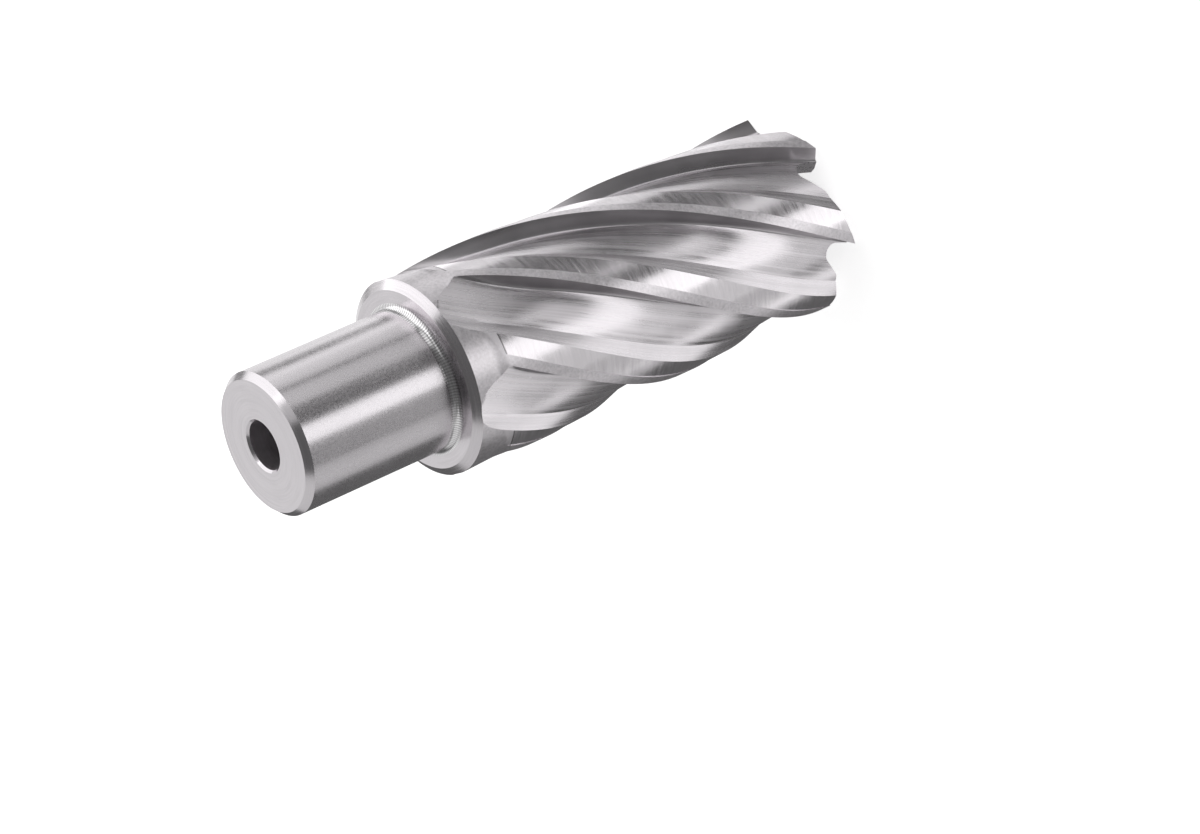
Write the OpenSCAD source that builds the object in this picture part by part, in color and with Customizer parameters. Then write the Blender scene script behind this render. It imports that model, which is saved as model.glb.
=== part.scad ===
// Annular cutter: one piece of high speed steel that stands on its teeth.
// Teeth tips at z = 0, shank end at the top, spin axis on Z, all sizes in mm.

/* [Shank] */
// diameter of the plain shank that the arbor holds
shank_d = 19.05; // [16:0.05:25]
// distance from the shank's end to the collar face
shank_len = 23.16; // [20:0.1:32]
// axial length of the chamfer on the shank's end
shank_chamfer_len = 0.88; // [0.4:0.02:1.4]
// radial height of the chamfer on the shank's end
shank_chamfer_rad = 0.78; // [0.4:0.02:1.4]
// how far the relief neck lies below the shank
neck_drop = 0.17; // [0.1:0.01:0.4]
// axial length of the relief neck, fillet included
neck_len = 1.32; // [1:0.01:2.4]
// radius of the fillet between neck and collar face
neck_fillet_r = 0.64; // [0.3:0.02:0.9]

/* [Drive flats] */
// depth of each drive flat below the shank
flat_depth = 1.5; // [0.8:0.1:2]
// axial length of a drive flat
flat_len = 8.4; // [7:0.1:9]
// distance from the shank's end to the middle of a flat
flat_mid = 6.9; // [6:0.1:8]
// direction of the first flat about the spin axis
flat_angle = 172; // [150:1:200]
// angle between the two flats
flat_spacing = 90; // [80:1:110]

/* [Collar] */
// how far the collar lies below the cutting radius
collar_drop = 0.3; // [0.2:0.02:0.6]
// how far the turned rim lies below the collar
collar_step = 0.06; // [0.05:0.01:0.3]
// axial length of the turned rim
collar_rim_len = 0.7; // [0.3:0.05:1]
// radial height of the chamfer on the rim
collar_chamfer_rad = 1.2; // [0.6:0.02:1.4]
// axial length of the chamfer on the rim
collar_chamfer_len = 0.8; // [0.5:0.05:1.6]
// length of the plain collar behind its rim
collar_len = 2.6; // [1.5:0.1:4]
// length of the cone from the collar to the cutting diameter
collar_blend_len = 2.1; // [1.5:0.1:6]

/* [Body and bores] */
// cutting diameter over the margins
cut_d = 26.99; // [26:0.01:30]
// overall length from the teeth tips to the shank's end
total_len = 86.45; // [78:0.1:100]
// diameter of the pilot pin that slides in the bore
pilot_pin_d = 6.35; // [5:0.05:8]
// diametral clearance between pilot pin and bore
pilot_clearance = 0.15; // [0.1:0.01:0.4]
// radial size of the countersink at the bore's mouth
pilot_chamfer = 0.31; // [0.1:0.01:0.8]
// diameter of the hollow core
core_d = 18.2; // [16:0.1:19.5]
// depth of the hollow core from the teeth tips
core_depth = 52; // [46:0.1:56]

/* [Flutes] */
// number of teeth and flutes
teeth = 6; // [4:1:7]
// helix angle of the flutes
helix_angle = 29.9; // [20:0.1:35]
// direction of the first cutting edge at the teeth tips
first_tooth_angle = 3; // [0:0.5:60]
// width of the full-diameter margin behind each cutting edge
margin_w = 1.3; // [0.8:0.05:1.6]
// width of the ground relief behind the margin
relief_w = 2.5; // [1.6:0.05:2.8]
// step from the margin down to the ground relief
relief_step = 0.1; // [0.06:0.01:0.2]
// drop of the ground relief where the back facet begins
relief_drop = 0.3; // [0.25:0.01:0.5]
// width of the facet behind the ground relief
facet_w = 1.8; // [1:0.02:2]
// depth where the facet meets the flute floor
facet_drop = 1.45; // [1:0.05:1.7]
// greatest depth of the flute, at the foot of the cutting face
flute_depth = 2.2; // [1.8:0.05:2.6]
// width that the leaning cutting face takes up
face_w = 0.32; // [0.2:0.02:0.8]
// distance from the shank's end to where a cutting edge begins
flute_start = 29.2; // [28:0.1:36]
// how far the rounded flute end runs back past the cutting edge
runout_len = 4.2; // [3.6:0.1:4.8]
// radius of the grinding wheel that leaves the run-out
wheel_r = 40; // [25:1:60]

/* [Teeth] */
// depth of the gullets from the teeth tips
gullet_depth = 4; // [3.6:0.05:5]
// distance of the gullet's face ahead of the cutting edge
gullet_ahead = 0.45; // [0.2:0.05:0.8]
// radius at the bottom of a gullet
gullet_r = 1.4; // [1:0.05:1.6]
// lean of the cutting face in the gullet
gullet_face_lean = 19; // [8:0.5:25]
// slope of the gullet's back
gullet_back_slope = 33; // [28:0.5:42]
// relief angle of the tooth ends
end_relief = 12; // [8:0.5:14]
// diameter of the ridge where the two end bevels meet
ridge_d = 18.8; // [18.4:0.1:22]
// angle of the outer end bevel
bevel_out = 9; // [6:0.5:16]
// angle of the inner end bevel
bevel_in = 12; // [6:0.5:20]

/* [Hidden] */
// which node is drawn
// segments of round shapes
$fn = 120;
// overrun of the cutting shapes past the faces they cut
over = 1;
// overrun of the flute shapes outside the cutting diameter
flute_over = 2;
// share of the cutting face's lean that carries on above the margin
face_over = 0.3;
// spacing of flute stations along the helix, at the run-out and beyond it
fine_step = 2;
long_step = 3.2;
// points across the flute floor
floor_points = 5;
// share of the flute's width at which its rounded end reaches farthest back
flute_mid_share = 0.68;
// how much the middle of the flute floor sags below its chord
floor_sag = 0.3;
// factor that brings the sag's curve to about its full height
sag_factor = 4;
// share of the flute's depth reached at the middle of the cutting face's width
face_share = 0.58;
// narrow step that closes the flute shape behind the relief band
close_w = 0.02;
// radius inside which no tooth shape is needed, as a share of the core radius
inner_share = 0.72;
// turn of the end bevels from the tooth tip to their own middle, as a share of the pitch
bevel_turn_share = 0.25;
// width of the gullet shape, as a share of the pitch chord
gullet_share = 0.55;
// how far the round bottom of a gullet bites into its straight sides
gullet_undercut = 0.06;
// length of the end bevels behind the tip, as a share of the pitch chord
tooth_share = 0.63;

shank_r = shank_d / 2;
cut_r = cut_d / 2;
core_r = core_d / 2;
collar_r = cut_r - collar_drop;
rim_r = collar_r - collar_step;
collar_face_r = rim_r - collar_chamfer_rad;
ridge_r = ridge_d / 2;
pilot_r = (pilot_pin_d + pilot_clearance) / 2;
neck_r = shank_r - neck_drop;
z_face = total_len - shank_len;
z_rim = z_face - collar_chamfer_len;
z_collar = z_rim - collar_rim_len;
z_blend = z_collar - collar_len;
z_cut = z_blend - collar_blend_len;
pitch_angle = 360 / teeth;
// pitch of the flutes measured square to the helix on the cutting diameter
pitch_w = 2 * PI * cut_r / teeth * cos(helix_angle);
facet_end = pitch_w - margin_w - relief_w;
floor_end = facet_end - facet_w;
// place across the flute where its rounded end reaches farthest back
flute_mid = facet_end * flute_mid_share;
z_start = total_len - flute_start;
// length along the helix that carries a flute past the teeth tips
u_end = (z_start + over + pitch_w * sin(helix_angle)) / cos(helix_angle);
u_runout = sqrt(2 * wheel_r * flute_depth);
u_first = -runout_len - over;
pitch_chord = 2 * cut_r * sin(pitch_angle / 2);
tooth_inner = core_r * inner_share;
gullet_w = pitch_chord * gullet_share;
bevel_turn = pitch_angle * bevel_turn_share;
bevel_shift = cut_r * sin(bevel_turn);
tooth_back = pitch_chord * tooth_share;
// middle of the gullet's round bottom, ahead of the tooth tip and above it
gullet_z = gullet_depth - gullet_r;
gullet_x = gullet_r / cos(gullet_face_lean) - gullet_z * tan(gullet_face_lean);
// where the round bottom runs into the slope of the back
back_x = gullet_x + gullet_r * sin(gullet_back_slope);
back_z = gullet_z + gullet_r * cos(gullet_back_slope);

// Depth of the full flute at distance w ahead of the cutting edge.
function floor_depth(w) =
  let (t = (w - face_w) / (floor_end - face_w))
  flute_depth + (facet_drop - flute_depth) * t + floor_sag * sag_factor * t * (1 - t) * (1 - t);

// Profile of a flute square to the helix: [distance ahead of the cutting edge, depth].
profile = concat(
  [[-face_w * face_over, -flute_depth * face_over]],
  [[face_w / 2, flute_depth * face_share]],
  [for (i = [0 : floor_points - 1])
    let (w = face_w + (floor_end - face_w) * i / floor_points) [w, floor_depth(w)]],
  [[floor_end, facet_drop]],
  [[facet_end, relief_drop]],
  [[facet_end + relief_w, relief_step]],
  [[facet_end + relief_w + close_w, -flute_over]],
  [[-face_w * face_over, -flute_over]]
);
wall_points = len(profile) - 2;

// Station where the rounded end of the flute leaves the body, at distance w.
function exit_u(w) = -runout_len * (1 - pow((w - flute_mid) / flute_mid, 2));

// Radial lift of a profile point near the flute's end.
function lift(p, u) =
  let (start = exit_u(p[0]) + sqrt(2 * wheel_r * max(p[1], 0)))
  min(pow(max(start - u, 0), 2) / (2 * wheel_r), p[1] + flute_over - over / 2);

// Point of the flute surface: u along the helix towards the teeth, p from the profile.
function flute_point(p, u, lifted) =
  let (
    rho = cut_r - p[1] + (lifted ? lift(p, u) : 0),
    arc = u * sin(helix_angle) + p[0] * cos(helix_angle),
    angle = -arc / cut_r * 180 / PI,
    z = z_start - u * cos(helix_angle) + p[0] * sin(helix_angle)
  )
  [rho * cos(angle), rho * sin(angle), z];

stations = concat(
  [for (u = [u_first : fine_step : u_runout]) u],
  [for (u = [u_runout + fine_step / 2 : long_step : u_end]) u],
  [u_end + long_step / 2]
);

// Direction of a cutting edge at its start, so that it reaches the tips at first_tooth_angle.
start_angle = first_tooth_angle + z_start * tan(helix_angle) / cut_r * 180 / PI;

module flute_cutter() {
  n = len(profile);
  m = len(stations);
  points = [
    for (u = stations) for (j = [0 : n - 1])
      flute_point(profile[j], u, j < wall_points)
  ];
  sides = [
    for (i = [0 : m - 2]) for (j = [0 : n - 1])
      let (a = i * n + j, b = i * n + (j + 1) % n)
        each [[a, b + n, a + n], [a, b, b + n]]
  ];
  first_cap = [for (j = [n - 1 : -1 : 0]) j];
  last_cap = [for (j = [0 : n - 1]) (m - 1) * n + j];
  polyhedron(points = points, faces = concat(sides, [first_cap], [last_cap]), convexity = 8);
}

// Half section of the turned blank, radius along X and height along Y.
module blank_section() {
  difference() {
    polygon([
      [0, 0],
      [cut_r, 0],
      [cut_r, z_cut],
      [collar_r, z_blend],
      [collar_r, z_collar - collar_step],
      [rim_r, z_collar],
      [rim_r, z_rim],
      [collar_face_r, z_face],
      [shank_r, z_face],
      [shank_r, total_len - shank_chamfer_len],
      [shank_r - shank_chamfer_rad, total_len],
      [0, total_len]
    ]);
    translate([neck_r, z_face])
      square([shank_r, neck_len]);
  }
  difference() {
    translate([neck_r - neck_fillet_r, z_face - neck_fillet_r])
      square([2 * neck_fillet_r, 2 * neck_fillet_r]);
    translate([neck_r + neck_fillet_r, z_face + neck_fillet_r])
      circle(r = neck_fillet_r);
  }
}

module pilot_bore() {
  translate([0, 0, core_depth - over])
    cylinder(r = pilot_r, h = total_len - core_depth + 2 * over);
  translate([0, 0, total_len - pilot_chamfer])
    cylinder(r1 = pilot_r, r2 = pilot_r + pilot_chamfer + over, h = pilot_chamfer + over);
}

module core_bore() {
  translate([0, 0, -over])
    cylinder(r = core_r, h = core_depth + over);
}

module drive_flat() {
  translate([shank_r - flat_depth, -shank_r, total_len - flat_mid - flat_len / 2])
    cube([shank_d, shank_d, flat_len]);
}

// Straight part of a gullet, seen from outside: the cutting face, then the slope of the back.
module gullet_section() {
  polygon([
    [-gullet_ahead - over * tan(gullet_face_lean), -over],
    [-gullet_ahead - gullet_x + gullet_r * cos(gullet_face_lean), gullet_z - gullet_r * sin(gullet_face_lean)],
    [-gullet_ahead - gullet_x, gullet_z],
    [-gullet_ahead - back_x, back_z],
    [-gullet_ahead - gullet_w, back_z - (gullet_w - back_x) * tan(gullet_back_slope)],
    [-gullet_ahead - gullet_w, -over]
  ]);
}

module gullet() {
  translate([tooth_inner, 0, 0])
    rotate([90, 0, 90])
      linear_extrude(height = cut_r)
        gullet_section();
}

// Round bottom of a gullet.
module gullet_bottom() {
  translate([tooth_inner, -gullet_ahead - gullet_x, gullet_z])
    rotate([0, 90, 0])
      cylinder(r = gullet_r + gullet_undercut, h = cut_r);
}

// Two bevels on a tooth end that meet in a ridge, tilted back by the end relief.
module end_bevels() {
  outer = cut_r + over;
  translate([0, -bevel_shift, 0])
    rotate([end_relief, 0, 0])
      translate([0, tooth_back, 0])
        rotate([90, 0, 0])
          linear_extrude(height = tooth_back + over)
            polygon([
              [tooth_inner, -gullet_depth],
              [outer, -gullet_depth],
              [outer, (outer - ridge_r) * tan(bevel_out)],
              [ridge_r, 0],
              [tooth_inner, (ridge_r - tooth_inner) * tan(bevel_in)]
            ]);
}

// Blank with its helical flutes.
module fluted_blank() {
  difference() {
    rotate_extrude()
      blank_section();
    for (k = [0 : teeth - 1])
      rotate([0, 0, start_angle + k * pitch_angle])
        flute_cutter();
  }
}

// Fluted blank with gullets and bevelled tooth ends.
module toothed_blank() {
  difference() {
    fluted_blank();
    for (k = [0 : teeth - 1])
      rotate([0, 0, first_tooth_angle + k * pitch_angle]) {
        gullet();
        gullet_bottom();
        rotate([0, 0, bevel_turn])
          end_bevels();
      }
  }
}

module annular_cutter() {
  color([0.72, 0.71, 0.72])
    difference() {
      toothed_blank();
      core_bore();
      pilot_bore();
      for (i = [0 : 1])
        rotate([0, 0, flat_angle + i * flat_spacing])
          drive_flat();
    }
}

annular_cutter();
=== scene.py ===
"""Looks of an annular cutter: a hollow fluted steel cutter with a plain round shank."""

import logging
import math
from dataclasses import dataclass, field
from enum import Enum
from typing import Iterable, Sequence

import bmesh
import bpy
from mathutils import Euler, Matrix, Vector
from mathutils.geometry import intersect_point_line

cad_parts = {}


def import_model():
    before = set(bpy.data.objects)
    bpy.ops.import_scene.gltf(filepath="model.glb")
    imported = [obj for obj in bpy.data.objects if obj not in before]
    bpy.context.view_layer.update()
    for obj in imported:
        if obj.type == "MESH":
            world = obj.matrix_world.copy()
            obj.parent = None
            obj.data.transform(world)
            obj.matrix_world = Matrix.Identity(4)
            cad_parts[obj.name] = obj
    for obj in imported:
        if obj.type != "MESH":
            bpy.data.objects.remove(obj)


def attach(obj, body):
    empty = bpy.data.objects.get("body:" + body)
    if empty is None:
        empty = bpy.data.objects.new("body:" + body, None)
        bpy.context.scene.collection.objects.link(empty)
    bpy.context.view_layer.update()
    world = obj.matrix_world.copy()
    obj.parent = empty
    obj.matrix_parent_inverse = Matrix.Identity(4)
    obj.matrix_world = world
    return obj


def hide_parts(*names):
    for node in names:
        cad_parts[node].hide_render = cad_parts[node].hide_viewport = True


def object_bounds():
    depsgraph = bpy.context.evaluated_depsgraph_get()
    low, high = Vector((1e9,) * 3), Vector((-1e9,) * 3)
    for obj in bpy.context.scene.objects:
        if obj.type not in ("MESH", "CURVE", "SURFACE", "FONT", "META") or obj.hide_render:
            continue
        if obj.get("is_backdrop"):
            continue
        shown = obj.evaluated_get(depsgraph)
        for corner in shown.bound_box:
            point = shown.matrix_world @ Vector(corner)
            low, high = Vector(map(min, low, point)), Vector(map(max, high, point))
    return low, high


LOG = logging.getLogger("annular_cutter")
MM = 0.001
NODE = "annular_cutter"
BODY = "root"

# Shapes whose own copies overlap when they are cut out.
CROSSING = ("bevels", "drive_flats")

# Millimetres: points closer than the first are welded, forms thinner than the second are closed.
WELD = 0.0001
SLIVER = 0.003

# Sizes that several parts of the cutter share, in millimetres and degrees.
CUT_R = 13.495
CORE_R = 9.1
SHANK_R = 9.525
TOTAL_LEN = 86.45
TEETH = 6
FIRST_TOOTH_ANGLE = 3.0

# Directions of the brushed gloss as shares of a turn, and a turn in degrees.
QUARTER_TURN = 0.25
HALF_TURN = 0.5
FULL_TURN_DEG = 360.0

NOISE_MEAN = 0.5
NOISE_DETAIL = 2.0
WHITE = (1.0, 1.0, 1.0, 1.0)

# Watts for each square metre at which a flat lamp looks white.
WHITE_POWER = 4.0

Point = tuple[float, float]
Colour = tuple[float, float, float]


class Surface(Enum):
    """Ground and turned surfaces of the cutter; the value is the material's index."""

    SHANK = 0
    END_FACE = 1
    NECK = 2
    COLLAR = 3
    BORE = 4
    CUTTING_FACE = 5
    FLUTE_FLOOR = 6
    FACET = 7
    RELIEF = 8
    GULLET = 9
    TOOTH_END = 10
    DRIVE_FLAT = 11


class Lay(Enum):
    """Direction that the tool marks of a finish run in."""

    AROUND = "around the axis"
    HELIX = "along the flutes"
    ACROSS = "across the flutes"
    GRAIN = "no direction"


class Value:
    """A shader socket that takes part in Python expressions."""

    def __init__(self, graph: "ShaderGraph", socket: bpy.types.NodeSocket) -> None:
        """Keeps the socket and the graph that new Math nodes go to."""
        self.graph = graph
        self.socket = socket

    def math(self, operation: str, *others: "Value | float") -> "Value":
        """Adds a Math node on this value.

        Args:
            operation: name of the Math node's operation.
            others: second and third operand, where the operation has them.

        Returns:
            The node's result.
        """
        inputs = dict(enumerate((self, *others)))
        return self.graph.value("ShaderNodeMath", {"operation": operation}, inputs)

    def __add__(self, other: "Value | float") -> "Value":
        """Sum."""
        return self.math("ADD", other)

    __radd__ = __add__

    def __mul__(self, other: "Value | float") -> "Value":
        """Product."""
        return self.math("MULTIPLY", other)

    __rmul__ = __mul__

    def __sub__(self, other: "Value | float") -> "Value":
        """Difference."""
        return self.math("SUBTRACT", other)

    def __rsub__(self, other: float) -> "Value":
        """Number less this value."""
        return self.math("MULTIPLY_ADD", -1.0, other)


class ShaderGraph:
    """Node tree of a material or a world, cleared and ready for new nodes."""

    def __init__(self, owner: bpy.types.Material | bpy.types.World) -> None:
        """Takes over the owner's node tree.

        Args:
            owner: the material or world.
        """
        owner.use_nodes = True
        self.tree = owner.node_tree
        self.tree.nodes.clear()

    def node(self, kind: str, settings: dict[str, object] | None = None,
             inputs: dict[str | int, object] | None = None) -> bpy.types.Node:
        """Adds a node, with its settings first and its sockets after them.

        Args:
            kind: the node's type, such as "ShaderNodeMath".
            settings: the node's own properties.
            inputs: value or link for each named or numbered input socket.

        Returns:
            The new node.
        """
        made = self.tree.nodes.new(kind)
        for name, setting in (settings or {}).items():
            setattr(made, name, setting)
        for name, source in (inputs or {}).items():
            target = made.inputs[name]
            if isinstance(source, Value):
                self.tree.links.new(source.socket, target)
            else:
                target.default_value = source
        return made

    def value(self, kind: str, settings: dict[str, object] | None = None,
              inputs: dict[str | int, object] | None = None, output: str | int = 0) -> Value:
        """Adds a node and returns one of its outputs as a value."""
        return Value(self, self.node(kind, settings, inputs).outputs[output])

    def vector(self, operation: str, *operands: object) -> Value:
        """Adds a Vector Math node on its numbered operands."""
        numbered = dict(enumerate(operands))
        return self.value("ShaderNodeVectorMath", {"operation": operation}, numbered)

    def noise(self, vector: Value, scale: float = 1.0, gain: float = 0.5) -> Value:
        """Adds noise with finer octaves on it, centred on nought.

        Args:
            vector: where the noise is read.
            scale: how many features fit in one unit.
            gain: weight of each finer octave.

        Returns:
            Noise of about a half to each side.
        """
        inputs = {"Vector": vector, "Scale": scale, "Detail": NOISE_DETAIL, "Roughness": gain}
        return self.value("ShaderNodeTexNoise", {"noise_dimensions": "3D"}, inputs) - NOISE_MEAN

    def blend(self, factor: Value, a: object, b: object) -> Value:
        """Adds a Mix node on two colours.

        Args:
            factor: share of the second colour.
            a: first colour, written or linked.
            b: second colour, written or linked.

        Returns:
            The mixed colour.
        """
        mix = self.node("ShaderNodeMix", {"data_type": "RGBA"})
        sockets = [i for i in mix.inputs if i.type == "RGBA"]
        self.tree.links.new(factor.socket, mix.inputs["Factor"])
        for socket, source in zip(sockets, (a, b)):
            if isinstance(source, Value):
                self.tree.links.new(source.socket, socket)
            else:
                socket.default_value = (*source, 1.0)
        return Value(self, next(o for o in mix.outputs if o.type == "RGBA"))


@dataclass(frozen=True)
class LeadIn:
    """Matt start of a ground band, which a scribed line ends; sizes in metres."""

    height: float
    roughness: float = 0.2
    line_half_w: float = 0.0001
    line_tone: float = 0.4


@dataclass(frozen=True)
class SteelFinish:
    """One finish of the bare tool steel; a length whose name gives no unit is in metres."""

    title: str
    colour: Colour = (0.74, 0.71, 0.735)
    roughness: float = 0.25
    roughness_swing: float = 0.06
    tone_swing: float = 0.08
    lay: Lay = Lay.GRAIN
    marks_per_mm: float = 2.5
    stretch: float = 0.03
    bump_mm: float = 0.002
    anisotropic: float = 0.0
    rotation: float = 0.0
    twist_per_m: float = 0.0
    lay_radius: float = 0.0135
    mark_share: float = 1.6
    mark_gain: float = 0.65
    cloud_share: float = 0.6
    clouds_per_m: float = 220.0
    ticks: int = 0
    tick_swing: float = 0.25
    lead_in: LeadIn | None = None

    def coordinates(self, graph: ShaderGraph, place: Value) -> Value:
        """Object coordinates drawn out along the finish's tool marks.

        Args:
            graph: node tree of the material.
            place: Object coordinates.

        Returns:
            Vector whose unit is one tool mark.
        """
        fine = self.marks_per_mm / MM
        slow = fine * self.stretch
        if self.lay is Lay.GRAIN:
            return graph.vector("MULTIPLY", place, (fine, fine, fine))
        if self.lay is Lay.AROUND:
            return self._around(graph, place, fine, slow)
        return self._helix(graph, place, fine, slow)

    def _helix(self, graph: ShaderGraph, place: Value, fine: float, slow: float) -> Value:
        """Way round, unwound from the helix, and height, one of them fine and the other slow.

        Args:
            graph: node tree of the material.
            place: Object coordinates.
            fine: marks in a metre square to the lay.
            slow: marks in a metre along the lay.

        Returns:
            Vector whose unit is one tool mark.
        """
        height = graph.value("ShaderNodeSeparateXYZ", inputs={0: place}, output="Z")
        unwound = graph.value("ShaderNodeVectorRotate", {"rotation_type": "Z_AXIS"},
                              {"Vector": place, "Angle": height * -self.twist_per_m})
        flat = graph.vector("MULTIPLY", unwound, (1.0, 1.0, 0.0))
        round_way = graph.vector("NORMALIZE", flat)
        across, along = (fine, slow) if self.lay is Lay.HELIX else (slow, fine)
        rise = graph.vector("MULTIPLY", place, (0.0, 0.0, along))
        reach = across * self.lay_radius
        return graph.vector("MULTIPLY_ADD", round_way, (reach, reach, 0.0), rise)

    @staticmethod
    def _around(graph: ShaderGraph, place: Value, fine: float, slow: float) -> Value:
        """Radius and height as fine coordinates, and the way round as a slow one.

        Args:
            graph: node tree of the material.
            place: Object coordinates.
            fine: marks in a metre square to the lay.
            slow: marks in a metre along the lay.

        Returns:
            Vector whose unit is one tool mark.
        """
        split = graph.node("ShaderNodeSeparateXYZ", inputs={0: place})
        x, y, z = (Value(graph, split.outputs[axis]) for axis in "XYZ")
        radius = (x * x + y * y).math("SQRT")
        return graph.value("ShaderNodeCombineXYZ",
                           inputs={"X": radius * fine, "Y": z * fine, "Z": (x + y) * slow})

    def shade(self, share: float) -> Colour:
        """The steel's colour at a share of its tone."""
        return tuple(min(1.0, c * share) for c in self.colour)

    def material(self) -> bpy.types.Material:
        """Builds the finish as a material.

        Returns:
            The new material.
        """
        made = bpy.data.materials.new(self.title)
        graph = ShaderGraph(made)
        place = graph.value("ShaderNodeTexCoord", output="Object")
        marks = graph.noise(self.coordinates(graph, place), gain=self.mark_gain)
        swing = marks * self.mark_share + graph.noise(place, self.clouds_per_m) * self.cloud_share
        roughness = swing * (self.roughness_swing / NOISE_MEAN) + self.roughness
        tone = swing + NOISE_MEAN
        if self.ticks:
            tone = tone + self._ticks(graph, place) * self.tick_swing
        dark, pale = (self.shade(1.0 + side * self.tone_swing) for side in (-1.0, 1.0))
        colour = graph.blend(tone, dark, pale)
        if self.lead_in:
            height = graph.value("ShaderNodeSeparateXYZ", inputs={0: place}, output="Z")
            matt = height.math("GREATER_THAN", self.lead_in.height)
            roughness = roughness + matt * self.lead_in.roughness
            line = height.math("COMPARE", self.lead_in.height, self.lead_in.line_half_w)
            colour = graph.blend(line, colour, self.shade(self.lead_in.line_tone))
        grooves = {"Strength": 1.0, "Distance": self.bump_mm * MM, "Height": marks}
        bump = graph.value("ShaderNodeBump", inputs=grooves, output="Normal")
        shader = graph.value("ShaderNodeBsdfPrincipled", inputs={
            "Base Color": colour,
            "Metallic": 1.0,
            "Roughness": roughness,
            "Anisotropic": self.anisotropic,
            "Anisotropic Rotation": self.rotation,
            "Normal": bump,
        })
        graph.node("ShaderNodeOutputMaterial", inputs={"Surface": shader})
        return made

    def _ticks(self, graph: ShaderGraph, place: Value) -> Value:
        """Wave with one period for each tick round the axis.

        Args:
            graph: node tree of the material.
            place: Object coordinates.

        Returns:
            Wave between minus one and one.
        """
        split = graph.node("ShaderNodeSeparateXYZ", inputs={0: place})
        turn = Value(graph, split.outputs["Y"]).math("ARCTAN2", Value(graph, split.outputs["X"]))
        return (turn * float(self.ticks)).math("SINE")


class Shape:
    """A mesh in millimetres while it is being made."""

    def __init__(self) -> None:
        """Starts with an empty bmesh."""
        self.bm = bmesh.new()

    def chain(self, points: Iterable[Sequence[float]]) -> list[bmesh.types.BMEdge]:
        """Adds a chain of edges through a few points."""
        verts = [self.bm.verts.new(p) for p in points]
        return [self.bm.edges.new(pair) for pair in zip(verts, verts[1:])]

    def spin(self, edges: Sequence[bmesh.types.BMEdge], angle: float, steps: int,
             surface: Surface, rise: float = 0.0) -> None:
        """Turns edges round the Z axis.

        Args:
            edges: the chain to turn.
            angle: total angle in radians.
            steps: number of steps.
            surface: surface that the new faces belong to.
            rise: shift along Z at each step.
        """
        old = set(self.bm.faces)
        verts = {v for e in edges for v in e.verts}
        full = math.isclose(abs(angle), math.tau) and rise == 0.0
        bmesh.ops.spin(self.bm, geom=[*verts, *edges], cent=(0, 0, 0), axis=(0, 0, 1),
                       dvec=(0, 0, rise), angle=angle, steps=steps, use_merge=full,
                       use_duplicate=False)
        for face in self.bm.faces:
            if face not in old:
                face.material_index = surface.value

    def close(self, surface: Surface) -> None:
        """Closes open rims with flat caps.

        Args:
            surface: surface that the caps belong to.
        """
        rims = [e for e in self.bm.edges if e.is_boundary]
        for face in bmesh.ops.holes_fill(self.bm, edges=rims, sides=0)["faces"]:
            face.material_index = surface.value

    def prism(self, outline: Sequence[Sequence[float]], along: Vector, surface: Surface) -> None:
        """Extrudes a closed flat outline.

        Args:
            outline: corners of the outline.
            along: path of the extrusion.
            surface: surface that the faces belong to.
        """
        base = self.bm.faces.new([self.bm.verts.new(p) for p in outline])
        out = bmesh.ops.extrude_face_region(self.bm, geom=[base], use_keep_orig=True)["geom"]
        moved = [g for g in out if isinstance(g, bmesh.types.BMVert)]
        bmesh.ops.translate(self.bm, verts=moved, vec=along)
        for face in self.bm.faces:
            face.material_index = surface.value

    def repeat_round(self, count: int) -> None:
        """Copies the whole shape to equal places round the Z axis.

        Args:
            count: number of places.
        """
        geom = [*self.bm.verts, *self.bm.edges, *self.bm.faces]
        angle = math.tau * (count - 1) / count
        bmesh.ops.spin(self.bm, geom=geom, cent=(0, 0, 0), axis=(0, 0, 1), dvec=(0, 0, 0),
                       angle=angle, steps=count - 1, use_duplicate=True)

    def turn(self, degrees: float, axis: str = "Z") -> None:
        """Turns the shape about an axis through the origin."""
        matrix = Matrix.Rotation(math.radians(degrees), 3, axis)
        bmesh.ops.rotate(self.bm, verts=self.bm.verts[:], matrix=matrix)

    def move(self, vec: Sequence[float]) -> None:
        """Shifts the shape."""
        bmesh.ops.translate(self.bm, verts=self.bm.verts[:], vec=Vector(vec))

    def finish(self, name: str, materials: Sequence[bpy.types.Material]) -> bpy.types.Object:
        """Closes the shape's seams and makes an object of it.

        Args:
            name: name of the object.
            materials: materials in the order of the surfaces.

        Returns:
            The new object, still in millimetres.
        """
        bmesh.ops.remove_doubles(self.bm, verts=self.bm.verts[:], dist=WELD)
        bmesh.ops.recalc_face_normals(self.bm, faces=self.bm.faces[:])
        mesh = bpy.data.meshes.new(name)
        self.bm.to_mesh(mesh)
        self.bm.free()
        for material in materials:
            mesh.materials.append(material)
        made = bpy.data.objects.new(name, mesh)
        bpy.context.scene.collection.objects.link(made)
        return made


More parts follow.
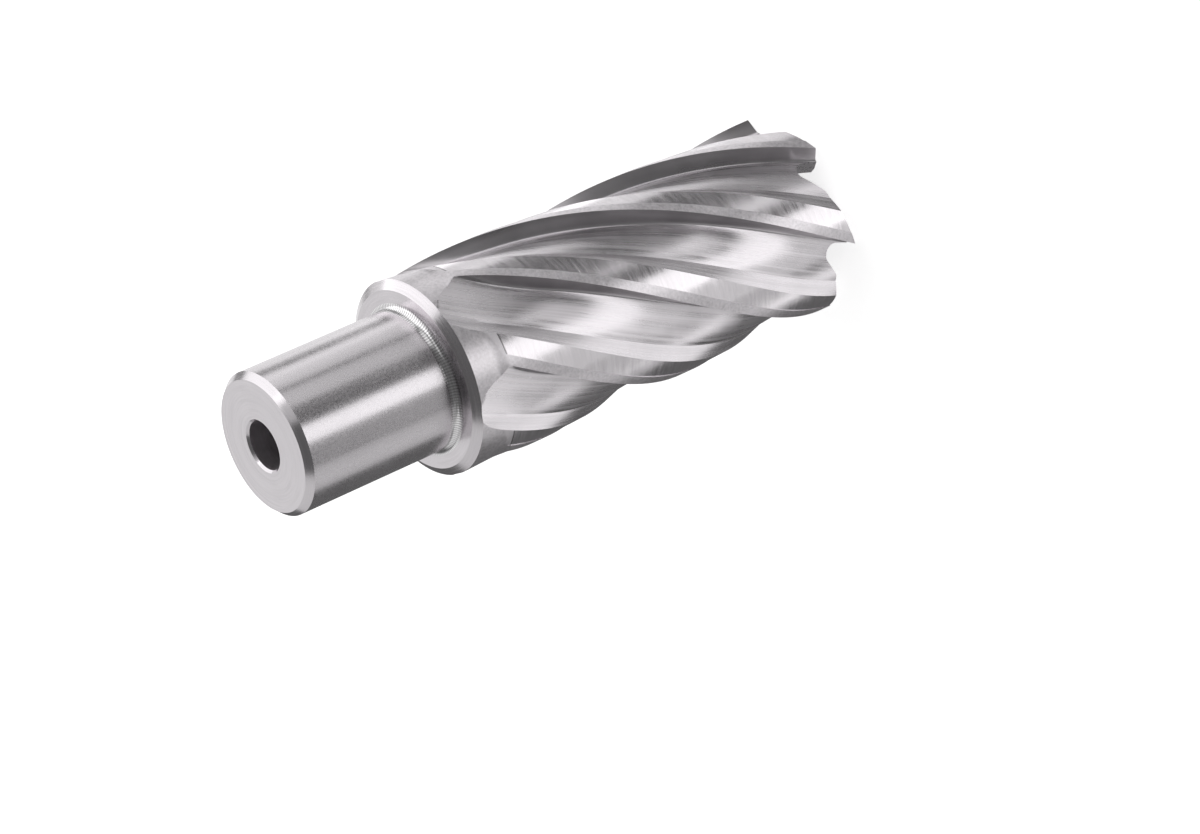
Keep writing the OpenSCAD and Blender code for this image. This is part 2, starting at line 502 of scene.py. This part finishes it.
@dataclass
class Blank:
    """The turned blank in millimetres: shank, neck, collar, cutting diameter and both bores."""

    shank_r: float = SHANK_R
    shank_len: float = 23.16
    shank_chamfer_len: float = 0.88
    shank_chamfer_rad: float = 0.78
    neck_drop: float = 0.3
    neck_len: float = 1.32
    neck_fillet_r: float = 1.0
    collar_drop: float = 0.3
    collar_step: float = 0.06
    collar_rim_len: float = 0.7
    collar_chamfer_rad: float = 1.2
    collar_chamfer_len: float = 0.8
    collar_len: float = 2.6
    collar_blend_len: float = 2.1
    cut_r: float = CUT_R
    total_len: float = TOTAL_LEN
    pilot_r: float = 3.25
    pilot_chamfer: float = 0.31
    core_r: float = CORE_R
    core_depth: float = 52.0
    segments: int = 288
    arc_steps: int = 8

    @property
    def z_face(self) -> float:
        """Height of the collar's flat face."""
        return self.total_len - self.shank_len

    @property
    def z_cut(self) -> float:
        """Height where the cutting diameter starts to ease into the collar."""
        return (self.z_face - self.collar_chamfer_len - self.collar_rim_len
                - self.collar_len - self.collar_blend_len)

    def blend(self) -> list[Point]:
        """Soft step from the cutting diameter to the collar.

        Returns:
            Points, each a radius and a height.
        """
        steps = [i / self.arc_steps for i in range(self.arc_steps + 1)]
        return [(self.cut_r - self.collar_drop * 0.5 * (1.0 - math.cos(math.pi * t)),
                 self.z_cut + self.collar_blend_len * t) for t in steps]

    def lean(self, z: float) -> float:
        """Slope of the soft step at height z, as the fall of the radius per rise."""
        t = min(max((z - self.z_cut) / self.collar_blend_len, 0.0), 1.0)
        return self.collar_drop * 0.5 * math.pi / self.collar_blend_len * math.sin(math.pi * t)

    def fillet(self) -> list[Point]:
        """Rounded corner between the neck and the collar's face.

        Returns:
            Points, each a radius and a height.
        """
        r = self.neck_fillet_r
        centre = (self.shank_r - self.neck_drop + r, self.z_face + r)
        first, sweep = 270.0, -90.0
        turns = [math.radians(first + sweep * i / self.arc_steps)
                 for i in range(self.arc_steps + 1)]
        return [(centre[0] + r * math.cos(t), centre[1] + r * math.sin(t)) for t in turns]

    def sections(self) -> list[tuple[Surface, list[Point]]]:
        """Half section of the blank as one chain of points for each surface.

        Returns:
            Surfaces with their points, each a radius and a height.
        """
        top = self.total_len
        shank_r, neck_r = self.shank_r, self.shank_r - self.neck_drop
        collar_r = self.cut_r - self.collar_drop
        rim_r = collar_r - self.collar_step
        z_rim = self.z_face - self.collar_chamfer_len
        fillet = self.fillet()
        z_neck = self.z_face + self.neck_len
        face_edge = (rim_r - self.collar_chamfer_rad, self.z_face)
        shank_end = (shank_r, top - self.shank_chamfer_len)
        end_edge = (shank_r - self.shank_chamfer_rad, top)
        bore_edge = (self.pilot_r + self.pilot_chamfer, top)
        bore_end = (self.pilot_r, top - self.pilot_chamfer)
        return [
            (Surface.COLLAR, [(self.cut_r, 0.0), *self.blend(), (rim_r, z_rim)]),
            (Surface.END_FACE, [(rim_r, z_rim), face_edge, fillet[0]]),
            (Surface.NECK, [*fillet, (neck_r, z_neck), (shank_r, z_neck)]),
            (Surface.SHANK, [(shank_r, z_neck), shank_end]),
            (Surface.END_FACE, [shank_end, end_edge, bore_edge, bore_end]),
            (Surface.BORE, [bore_end, (self.pilot_r, self.core_depth),
                            (self.core_r, self.core_depth), (self.core_r, 0.0)]),
            (Surface.TOOTH_END, [(self.core_r, 0.0), (self.cut_r, 0.0)]),
        ]

    def build(self, materials: Sequence[bpy.types.Material]) -> bpy.types.Object:
        """Turns the half section round the axis.

        Args:
            materials: materials in the order of the surfaces.

        Returns:
            The blank.
        """
        shape = Shape()
        for surface, points in self.sections():
            edges = shape.chain([(r, 0.0, z) for r, z in points])
            shape.spin(edges, math.tau, self.segments, surface)
        return shape.finish("blank", materials)


@dataclass
class Flutes:
    """Helical flutes with their cutting faces, facets, relief bands and rounded run-outs.

    Sizes are in millimetres and angles in degrees.
    """

    cut_r: float = CUT_R
    teeth: int = TEETH
    helix_angle: float = 29.9
    first_tooth_angle: float = FIRST_TOOTH_ANGLE
    start_z: float = 57.25
    margin_w: float = 1.3
    relief_w: float = 2.5
    relief_step: float = 0.1
    relief_drop: float = 0.3
    facet_w: float = 1.8
    facet_drop: float = 1.45
    depth: float = 2.2
    face_w: float = 0.32
    face_share: float = 0.58
    knee_share: float = 0.5
    face_over: float = 0.3
    close_w: float = 0.02
    floor_sag: float = 1.2
    mid_share: float = 0.68
    runout_len: float = 4.2
    wheel_r: float = 40.0
    root_r: float = 0.38
    over: float = 2.0
    lead: float = 1.0
    roof_gap: float = 0.5
    step: float = 0.7
    floor_steps: int = 14
    root_steps: int = 6
    band_steps: int = 5

    @property
    def pitch_w(self) -> float:
        """Pitch of the flutes square to the helix on the cutting diameter."""
        return math.tau * self.cut_r / self.teeth * math.cos(math.radians(self.helix_angle))

    @property
    def facet_end(self) -> float:
        """Distance ahead of the cutting edge where the facet meets the relief band."""
        return self.pitch_w - self.margin_w - self.relief_w

    @property
    def floor_end(self) -> float:
        """Distance ahead of the cutting edge where the floor meets the facet."""
        return self.facet_end - self.facet_w

    @property
    def start_angle(self) -> float:
        """Direction in degrees of the first cutting edge at the flutes' start."""
        turn = self.start_z * math.tan(math.radians(self.helix_angle)) / self.cut_r
        return self.first_tooth_angle + math.degrees(turn)

    def floor_depth(self, w: float) -> float:
        """Depth of the flute floor at distance w ahead of the cutting edge."""
        t = (w - self.face_w) / (self.floor_end - self.face_w)
        return self.depth + (self.facet_drop - self.depth) * t + self.floor_sag * t * (1.0 - t) ** 2

    def lanes(self) -> list[tuple[Surface, list[Point]]]:
        """Profile square to the helix as one chain for each surface.

        Returns:
            Surfaces with their points, each a distance ahead of the cutting edge and a depth.
        """
        top: Point = (-self.face_over * self.face_w, -self.face_over * self.depth)
        knee: Point = (self.knee_share * self.face_w, self.face_share * self.depth)
        corner: Point = (self.face_w, self.depth)
        share = 1.0 - self.root_r / math.dist(knee, corner)
        wall_end = tuple(a + (b - a) * share for a, b in zip(knee, corner))
        floor_w = self.face_w + self.root_r
        floor_start: Point = (floor_w, self.floor_depth(floor_w))
        root = [self._bezier(wall_end, corner, floor_start, i / self.root_steps)
                for i in range(self.root_steps + 1)]
        floor = [floor_w + (self.floor_end - floor_w) * i / self.floor_steps
                 for i in range(self.floor_steps + 1)]
        floor_edge: Point = (self.floor_end, self.facet_drop)
        facet_edge: Point = (self.facet_end, self.relief_drop)
        band_edge: Point = (self.facet_end + self.relief_w, self.relief_step)
        return [
            (Surface.CUTTING_FACE, [*self._line(top, knee, self.band_steps), *root]),
            (Surface.FLUTE_FLOOR, [(w, self.floor_depth(w)) for w in floor]),
            (Surface.FACET, self._line(floor_edge, facet_edge, self.band_steps)),
            (Surface.RELIEF, self._line(facet_edge, band_edge, self.band_steps)),
        ]

    @staticmethod
    def _bezier(a: Point, b: Point, c: Point, t: float) -> Point:
        """Point of a rounded corner from a to c with its control point at b."""
        return tuple((1 - t) ** 2 * p + 2 * t * (1 - t) * q + t * t * r for p, q, r in zip(a, b, c))

    @staticmethod
    def _line(a: Point, b: Point, steps: int) -> list[Point]:
        """Evenly spaced points from a to b."""
        return [tuple(p + (q - p) * i / steps for p, q in zip(a, b)) for i in range(steps + 1)]

    def lift(self, w: float, depth: float, u: float) -> float:
        """Radial lift near the flute's rounded end.

        Args:
            w: distance ahead of the cutting edge.
            depth: depth of the full flute there.
            u: distance along the helix from the flutes' start.

        Returns:
            Height above the full flute.
        """
        mid = self.facet_end * self.mid_share
        leave = -self.runout_len * (1.0 - ((w - mid) / mid) ** 2)
        start = leave + math.sqrt(2.0 * self.wheel_r * max(depth, 0.0))
        rise = max(start - u, 0.0) ** 2 / (2.0 * self.wheel_r)
        return min(rise, depth + self.over - self.roof_gap)

    def place(self, w: float, depth: float, u: float) -> Vector:
        """Point of the unlifted flute.

        Args:
            w: distance ahead of the cutting edge.
            depth: depth under the cutting diameter.
            u: distance along the helix from the flutes' start.

        Returns:
            The point.
        """
        beta = math.radians(self.helix_angle)
        angle = -(u * math.sin(beta) + w * math.cos(beta)) / self.cut_r
        rho = self.cut_r - depth
        return Vector((rho * math.cos(angle), rho * math.sin(angle),
                       self.start_z - u * math.cos(beta) + w * math.sin(beta)))

    def build(self, materials: Sequence[bpy.types.Material]) -> bpy.types.Object:
        """Sweeps the profile along the helix and shapes the run-outs.

        Args:
            materials: materials in the order of the surfaces.

        Returns:
            The shape that the flutes take out of the blank.
        """
        shape = Shape()
        ahead = shape.bm.verts.layers.float.new("ahead")
        sunk = shape.bm.verts.layers.float.new("sunk")
        beta = math.radians(self.helix_angle)
        u_first = -self.runout_len - self.lead
        fall = self.start_z + self.lead + self.pitch_w * math.sin(beta)
        u_last = fall / math.cos(beta) + self.over
        steps = math.ceil((u_last - u_first) / self.step)
        du = (u_last - u_first) / steps
        lanes = self.lanes()
        last = lanes[-1][1][-1]
        first = lanes[0][1][0]
        roof = [last, (last[0] + self.close_w, -self.over), (first[0], -self.over), first]
        for surface, points in [*lanes, (Surface.RELIEF, roof)]:
            edges = shape.chain([self.place(w, depth, u_first) for w, depth in points])
            verts = [edges[0].verts[0], *(e.verts[1] for e in edges)]
            for vert, (w, depth) in zip(verts, points):
                vert[ahead], vert[sunk] = w, depth
            shape.spin(edges, -du * math.sin(beta) / self.cut_r * steps, steps, surface,
                       rise=-du * math.cos(beta))
        for vert in shape.bm.verts:
            w, depth = vert[ahead], vert[sunk]
            if depth > WELD - self.over:
                u = (self.start_z + w * math.sin(beta) - vert.co.z) / math.cos(beta)
                rho = math.hypot(vert.co.x, vert.co.y)
                grow = (rho + self.lift(w, depth, u)) / rho
                vert.co.x *= grow
                vert.co.y *= grow
        bmesh.ops.remove_doubles(shape.bm, verts=shape.bm.verts[:], dist=WELD)
        shape.close(Surface.RELIEF)
        shape.bm.verts.layers.float.remove(sunk)
        shape.bm.verts.layers.float.remove(shape.bm.verts.layers.float["ahead"])
        shape.repeat_round(self.teeth)
        shape.turn(self.start_angle)
        return shape.finish("flutes", materials)


@dataclass
class Teeth:
    """Gullets ahead of the tips and the two bevels on each tooth end.

    Sizes are in millimetres and angles in degrees.
    """

    cut_r: float = CUT_R
    core_r: float = CORE_R
    teeth: int = TEETH
    first_tooth_angle: float = FIRST_TOOTH_ANGLE
    gullet_depth: float = 4.0
    gullet_r: float = 1.4
    face_lean: float = 19.0
    back_slope: float = 33.0
    end_relief: float = 12.0
    ridge_r: float = 9.4
    bevel_out: float = 9.0
    bevel_in: float = 12.0
    inner_share: float = 0.72
    gullet_ahead: float = 0.45
    bevel_turn: float = 15.0
    gullet_share: float = 0.55
    tooth_share: float = 0.63
    over: float = 1.0
    arc_steps: int = 14

    @property
    def pitch_chord(self) -> float:
        """Straight distance from tip to tip."""
        return 2.0 * self.cut_r * math.sin(math.pi / self.teeth)

    def gullet_outline(self) -> list[Point]:
        """Gullet seen from outside: the cutting face, the round bottom and the slope of the back.

        Returns:
            Corners, each a distance along the rim and a height.
        """
        shift = -self.gullet_ahead
        lean, slope = math.radians(self.face_lean), math.radians(self.back_slope)
        mid_z = self.gullet_depth - self.gullet_r
        mid_x = shift - (self.gullet_r / math.cos(lean) - mid_z * math.tan(lean))
        first, last = -lean, math.pi / 2 + slope
        arc = [first + (last - first) * i / self.arc_steps for i in range(self.arc_steps + 1)]
        round_bottom = [(mid_x + self.gullet_r * math.cos(a), mid_z + self.gullet_r * math.sin(a))
                        for a in arc]
        far = shift - self.pitch_chord * self.gullet_share
        end = round_bottom[-1]
        return [
            (shift - self.over * math.tan(lean), -self.over),
            *round_bottom,
            (far, end[1] - (end[0] - far) * math.tan(slope)),
            (far, -self.over),
        ]

    def gullets(self, materials: Sequence[bpy.types.Material]) -> bpy.types.Object:
        """Makes the shape that the gullets take out of the rim.

        Args:
            materials: materials in the order of the surfaces.

        Returns:
            The shape of all gullets.
        """
        shape = Shape()
        inner = self.core_r * self.inner_share
        outline = [(inner, y, z) for y, z in self.gullet_outline()]
        shape.prism(outline, Vector((self.cut_r, 0, 0)), Surface.GULLET)
        shape.turn(self.first_tooth_angle)
        shape.repeat_round(self.teeth)
        return shape.finish("gullets", materials)

    def bevels(self, materials: Sequence[bpy.types.Material]) -> bpy.types.Object:
        """Makes the shape that the end bevels take off the teeth.

        Args:
            materials: materials in the order of the surfaces.

        Returns:
            The shape of all bevels.
        """
        shape = Shape()
        inner, outer = self.core_r * self.inner_share, self.cut_r + self.over
        out_slope = math.tan(math.radians(self.bevel_out))
        in_slope = math.tan(math.radians(self.bevel_in))
        back = self.pitch_chord * self.tooth_share
        along = Vector((0, -back - self.over, 0))
        outline = [
            (inner, -self.gullet_depth),
            (outer, -self.gullet_depth),
            (outer, (outer - self.ridge_r) * out_slope),
            (self.ridge_r, 0.0),
            (inner, (self.ridge_r - inner) * in_slope),
        ]
        shape.prism([(x, back, z) for x, z in outline], along, Surface.TOOTH_END)
        shape.turn(self.end_relief, "X")
        shape.move((0, -self.cut_r * math.sin(math.radians(self.bevel_turn)), 0))
        shape.turn(self.first_tooth_angle + self.bevel_turn)
        shape.repeat_round(self.teeth)
        return shape.finish("bevels", materials)


@dataclass
class DriveFlats:
    """Flats on the shank that the arbor's set screws press on; millimetres and degrees."""

    shank_r: float = SHANK_R
    total_len: float = TOTAL_LEN
    depth: float = 1.5
    length: float = 8.4
    middle: float = 6.9
    angle: float = 172.0
    spacing: float = 90.0
    count: int = 2

    def build(self, materials: Sequence[bpy.types.Material]) -> bpy.types.Object:
        """Makes the shape that the flats take off the shank.

        Args:
            materials: materials in the order of the surfaces.

        Returns:
            The shape of both flats.
        """
        shape = Shape()
        width = 2.0 * self.shank_r
        offset = (width - self.depth, 0.0, self.total_len - self.middle)
        for i in range(self.count):
            block = bmesh.ops.create_cube(shape.bm, size=1.0)["verts"]
            bmesh.ops.scale(shape.bm, verts=block, vec=(width, width, self.length))
            bmesh.ops.translate(shape.bm, verts=block, vec=offset)
            turn = Matrix.Rotation(math.radians(self.angle + i * self.spacing), 3, "Z")
            bmesh.ops.rotate(shape.bm, verts=block, matrix=turn)
        for face in shape.bm.faces:
            face.material_index = Surface.DRIVE_FLAT.value
        return shape.finish("drive_flats", materials)


@dataclass
class AnnularCutter:
    """The whole one-piece cutter."""

    blank: Blank = field(default_factory=Blank)
    flutes: Flutes = field(default_factory=Flutes)
    teeth: Teeth = field(default_factory=Teeth)
    flats: DriveFlats = field(default_factory=DriveFlats)
    sharp_angle: float = 17.0
    lean_share: float = 0.5
    wall_lean: float = 0.3

    def finishes(self) -> dict[Surface, SteelFinish]:
        """Finish of each surface.

        Returns:
            Finishes by surface.
        """
        twist = math.tan(math.radians(self.flutes.helix_angle)) / (self.flutes.cut_r * MM)
        across_helix = HALF_TURN - self.flutes.helix_angle / FULL_TURN_DEG
        flute = {"lay": Lay.HELIX, "twist_per_m": twist, "rotation": across_helix,
                 "marks_per_mm": 1.9, "stretch": 0.01}
        return {
            Surface.SHANK: SteelFinish(
                "ground_shank", roughness=0.28, tone_swing=0.09, marks_per_mm=3.2,
                anisotropic=0.5, rotation=QUARTER_TURN),
            Surface.END_FACE: SteelFinish(
                "turned_faces", roughness=0.22, lay=Lay.AROUND, marks_per_mm=4.0,
                anisotropic=0.2, rotation=QUARTER_TURN),
            Surface.NECK: SteelFinish(
                "turned_neck", roughness=0.24, lay=Lay.AROUND, marks_per_mm=4.0, anisotropic=0.4,
                rotation=QUARTER_TURN, tone_swing=0.4, ticks=156, tick_swing=0.42),
            Surface.COLLAR: SteelFinish(
                "satin_collar", roughness=0.36, tone_swing=0.22, bump_mm=0.006),
            Surface.BORE: SteelFinish(
                "bored_steel", roughness=0.4, lay=Lay.AROUND, marks_per_mm=3.0),
            Surface.CUTTING_FACE: SteelFinish(
                "ground_cutting_face", roughness=0.3, anisotropic=0.4, tone_swing=0.34, **flute),
            Surface.FLUTE_FLOOR: SteelFinish(
                "ground_flute_floor", roughness=0.29, tone_swing=0.22, roughness_swing=0.1,
                bump_mm=0.005, anisotropic=0.5, **flute),
            Surface.FACET: SteelFinish(
                "ground_facet", roughness=0.26, anisotropic=0.5, tone_swing=0.18, **flute),
            Surface.RELIEF: SteelFinish(
                "ground_relief", roughness=0.22, lay=Lay.ACROSS, twist_per_m=twist,
                marks_per_mm=2.0, stretch=0.1, bump_mm=0.001, tone_swing=0.12,
                lead_in=LeadIn(self.flutes.start_z * MM)),
            Surface.GULLET: SteelFinish("ground_gullet", roughness=0.28),
            Surface.TOOTH_END: SteelFinish("ground_tooth_end", roughness=0.28),
            Surface.DRIVE_FLAT: SteelFinish("milled_flat", roughness=0.3),
        }

    def build(self) -> bpy.types.Object:
        """Cuts the flutes, gullets, bevels and flats out of the blank.

        Returns:
            The finished piece in metres.
        """
        finishes = self.finishes()
        materials = [finishes[surface].material() for surface in Surface]
        body = self.blank.build(materials)
        for cutter in (self.flutes.build(materials), self.teeth.gullets(materials),
                       self.teeth.bevels(materials), self.flats.build(materials)):
            self._cut(body, cutter)
            LOG.info("cut %s: %d faces", cutter.name, len(body.data.polygons))
            bpy.data.objects.remove(cutter)
        body.name = "cutter_body"
        self._clean(body.data)
        self._smooth(body.data)
        body.data.transform(Matrix.Scale(MM, 4))
        return body

    @staticmethod
    def _cut(body: bpy.types.Object, cutter: bpy.types.Object) -> None:
        """Takes a shape out of the body for good.

        Args:
            body: the piece that is cut.
            cutter: the shape that goes out of it.
        """
        modifier = body.modifiers.new("cut", "BOOLEAN")
        modifier.operation = "DIFFERENCE"
        modifier.solver = "EXACT"
        modifier.use_self = cutter.name in CROSSING
        modifier.material_mode = "INDEX"
        modifier.object = cutter
        graph = bpy.context.evaluated_depsgraph_get()
        made = bpy.data.meshes.new_from_object(body.evaluated_get(graph))
        body.modifiers.clear()
        old = body.data
        body.data = made
        bpy.data.meshes.remove(old)

    @staticmethod
    def _clean(mesh: bpy.types.Mesh) -> None:
        """Closes the slivers that the cuts leave and drops corners that lie on a straight edge.

        Args:
            mesh: the cut mesh in millimetres.
        """
        bm = bmesh.new()
        bm.from_mesh(mesh)
        bmesh.ops.remove_doubles(bm, verts=bm.verts[:], dist=SLIVER)
        bmesh.ops.dissolve_degenerate(bm, edges=bm.edges[:], dist=SLIVER)
        straight = []
        for vert in bm.verts:
            if len(vert.link_edges) == 2:
                ends = [edge.other_vert(vert).co for edge in vert.link_edges]
                if (intersect_point_line(vert.co, *ends)[0] - vert.co).length < SLIVER:
                    straight.append(vert)
        bmesh.ops.dissolve_verts(bm, verts=straight)
        bmesh.ops.recalc_face_normals(bm, faces=bm.faces[:])
        bm.to_mesh(mesh)
        bm.free()

    def _smooth(self, mesh: bpy.types.Mesh) -> None:
        """Shades curved surfaces smooth, keeps edges sharp and eases the collar's soft step.

        Args:
            mesh: the cleaned mesh in millimetres.
        """
        mesh.polygons.foreach_set("use_smooth", [True] * len(mesh.polygons))
        mesh.set_sharp_from_angle(angle=math.radians(self.sharp_angle))
        normals = [Vector((0.0, 0.0, 0.0)) for _ in mesh.loops]
        for face in mesh.polygons:
            if face.material_index == Surface.COLLAR.value and abs(face.normal.z) < self.wall_lean:
                for i in face.loop_indices:
                    at = mesh.vertices[mesh.loops[i].vertex_index].co
                    out = Vector((at.x, at.y, 0.0)).normalized()
                    out.z = self.lean_share * self.blank.lean(at.z)
                    normals[i] = out.normalized()
        mesh.normals_split_custom_set(normals)

    def dress(self, body: bpy.types.Object) -> None:
        """Ties the piece to the frame.

        Args:
            body: the finished piece.
        """
        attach(body, BODY)
        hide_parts(NODE)


@dataclass(frozen=True)
class Softbox:
    """Flat rectangular studio lamp that faces the cutter; degrees and metres."""

    name: str
    azimuth: float
    elevation: float
    half_width: float
    half_height: float
    level: float
    distance: float = 0.9

    def build(self, target: Vector) -> bpy.types.Object:
        """Hangs the lamp up.

        Args:
            target: point that the lamp faces.

        Returns:
            The lamp.
        """
        data = bpy.data.lights.new(self.name, "AREA")
        data.shape = "RECTANGLE"
        data.size = 2.0 * self.distance * math.tan(math.radians(self.half_width))
        data.size_y = 2.0 * self.distance * math.tan(math.radians(self.half_height))
        data.energy = WHITE_POWER * self.level * data.size * data.size_y
        lamp = bpy.data.objects.new(self.name, data)
        a, e = math.radians(self.azimuth), math.radians(self.elevation)
        out = Vector((math.cos(a) * math.cos(e), math.sin(a) * math.cos(e), math.sin(e)))
        lamp.location = target + out * self.distance
        lamp.rotation_euler = out.to_track_quat("Z", "Y").to_euler()
        bpy.context.scene.collection.objects.link(lamp)
        return lamp


@dataclass
class Studio:
    """Pale floor, soft lamps, plain surroundings and the camera, in metres and degrees."""

    floor_radius: float = 2.0
    floor_segments: int = 96
    floor_colour: Colour = (0.86, 0.86, 0.86)
    floor_lift: float = 0.75
    room_level: float = 0.12
    camera_place: tuple[float, float, float] = (0.36918, 0.27765, 0.32732)
    camera_turn: tuple[float, float, float] = (-34.1013, 50.4267, -2.6048)
    lens: float = 127.33
    sensor_w: float = 36.0
    clip_start: float = 0.01
    clip_end: float = 20.0
    lamps: tuple[Softbox, ...] = (
        Softbox("key_panel", 146.0, 38.0, 33.0, 26.0, 0.92),
        Softbox("end_panel", -154.0, 28.0, 27.0, 24.0, 0.52),
        Softbox("back_panel", -168.0, -20.0, 26.0, 18.0, 0.64),
        Softbox("low_back_panel", 158.0, -42.0, 20.0, 12.0, 0.62),
        Softbox("left_panel", 126.0, -15.0, 18.0, 16.0, 0.65),
        Softbox("side_panel", 86.0, -2.0, 14.0, 28.0, 0.57),
        Softbox("low_left_panel", 100.0, -52.0, 20.0, 9.0, 0.3),
        Softbox("low_strip", 27.0, -33.0, 12.0, 19.0, 1.02),
        Softbox("low_panel", -4.0, -42.0, 15.0, 13.0, 0.5),
        Softbox("bottom_panel", 5.0, -68.0, 46.0, 11.0, 0.76),
        Softbox("front_fill", -46.0, -24.0, 20.0, 20.0, 0.35),
        Softbox("high_fill", -80.0, 28.0, 28.0, 26.0, 0.42),
        Softbox("top_fill", 85.0, 50.0, 18.0, 12.0, 0.37),
        Softbox("face_fill", -38.0, 14.0, 15.0, 16.0, 0.13),
    )

    def floor(self) -> bpy.types.Object:
        """Lays the pale floor under the cutter's teeth.

        The steel mirrors the lamps under it, so it is left out of reflections and shades nothing.

        Returns:
            The floor.
        """
        shape = Shape()
        bmesh.ops.create_circle(shape.bm, cap_ends=True, segments=self.floor_segments,
                                radius=self.floor_radius / MM)
        paint = bpy.data.materials.new("pale_floor")
        graph = ShaderGraph(paint)
        seen = graph.value("ShaderNodeLightPath", output="Is Camera Ray")
        matte = graph.value("ShaderNodeBsdfDiffuse", inputs={"Color": (*self.floor_colour, 1.0)})
        lift = {"Color": WHITE, "Strength": seen * self.floor_lift}
        glow = graph.value("ShaderNodeEmission", inputs=lift)
        both = graph.value("ShaderNodeAddShader", inputs={0: matte, 1: glow})
        graph.node("ShaderNodeOutputMaterial", inputs={"Surface": both})
        made = shape.finish("floor", [paint])
        made.data.transform(Matrix.Scale(MM, 4))
        made.visible_glossy = False
        made.visible_shadow = False
        made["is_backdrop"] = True
        return made

    def room(self) -> None:
        """Sets up plain surroundings, white to the camera and a dim grey to the steel."""
        world = bpy.data.worlds.new("studio")
        bpy.context.scene.world = world
        graph = ShaderGraph(world)
        seen = graph.value("ShaderNodeLightPath", output="Is Camera Ray")
        level = seen * (1.0 - self.room_level) + self.room_level
        back = graph.value("ShaderNodeBackground", inputs={"Color": WHITE, "Strength": level})
        graph.node("ShaderNodeOutputWorld", inputs={"Surface": back})

    def camera(self) -> bpy.types.Object:
        """Sets the camera up at the photograph's viewing angle.

        Returns:
            The camera.
        """
        data = bpy.data.cameras.new("camera")
        data.sensor_fit = "HORIZONTAL"
        data.sensor_width = self.sensor_w
        data.lens = self.lens
        data.clip_start, data.clip_end = self.clip_start, self.clip_end
        made = bpy.data.objects.new("camera", data)
        made.location = self.camera_place
        made.rotation_euler = Euler([math.radians(a) for a in self.camera_turn])
        bpy.context.scene.collection.objects.link(made)
        bpy.context.scene.camera = made
        return made

    def build(self, target: Vector) -> None:
        """Sets up the whole studio.

        Args:
            target: point that the lamps face.
        """
        self.floor()
        self.room()
        for lamp in self.lamps:
            lamp.build(target)
        self.camera()
        bpy.context.scene.view_settings.view_transform = "Standard"


def main() -> None:
    """Builds the cutter on its frame and sets up the studio round it."""
    logging.basicConfig(level=logging.INFO, format="%(name)s: %(message)s")
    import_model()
    frame_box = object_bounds()
    cutter = AnnularCutter()
    body = cutter.build()
    cutter.dress(body)
    LOG.info("%s: %d faces", body.name, len(body.data.polygons))
    Studio().build((frame_box[0] + frame_box[1]) / 2)


if __name__ == "__main__":
    main()
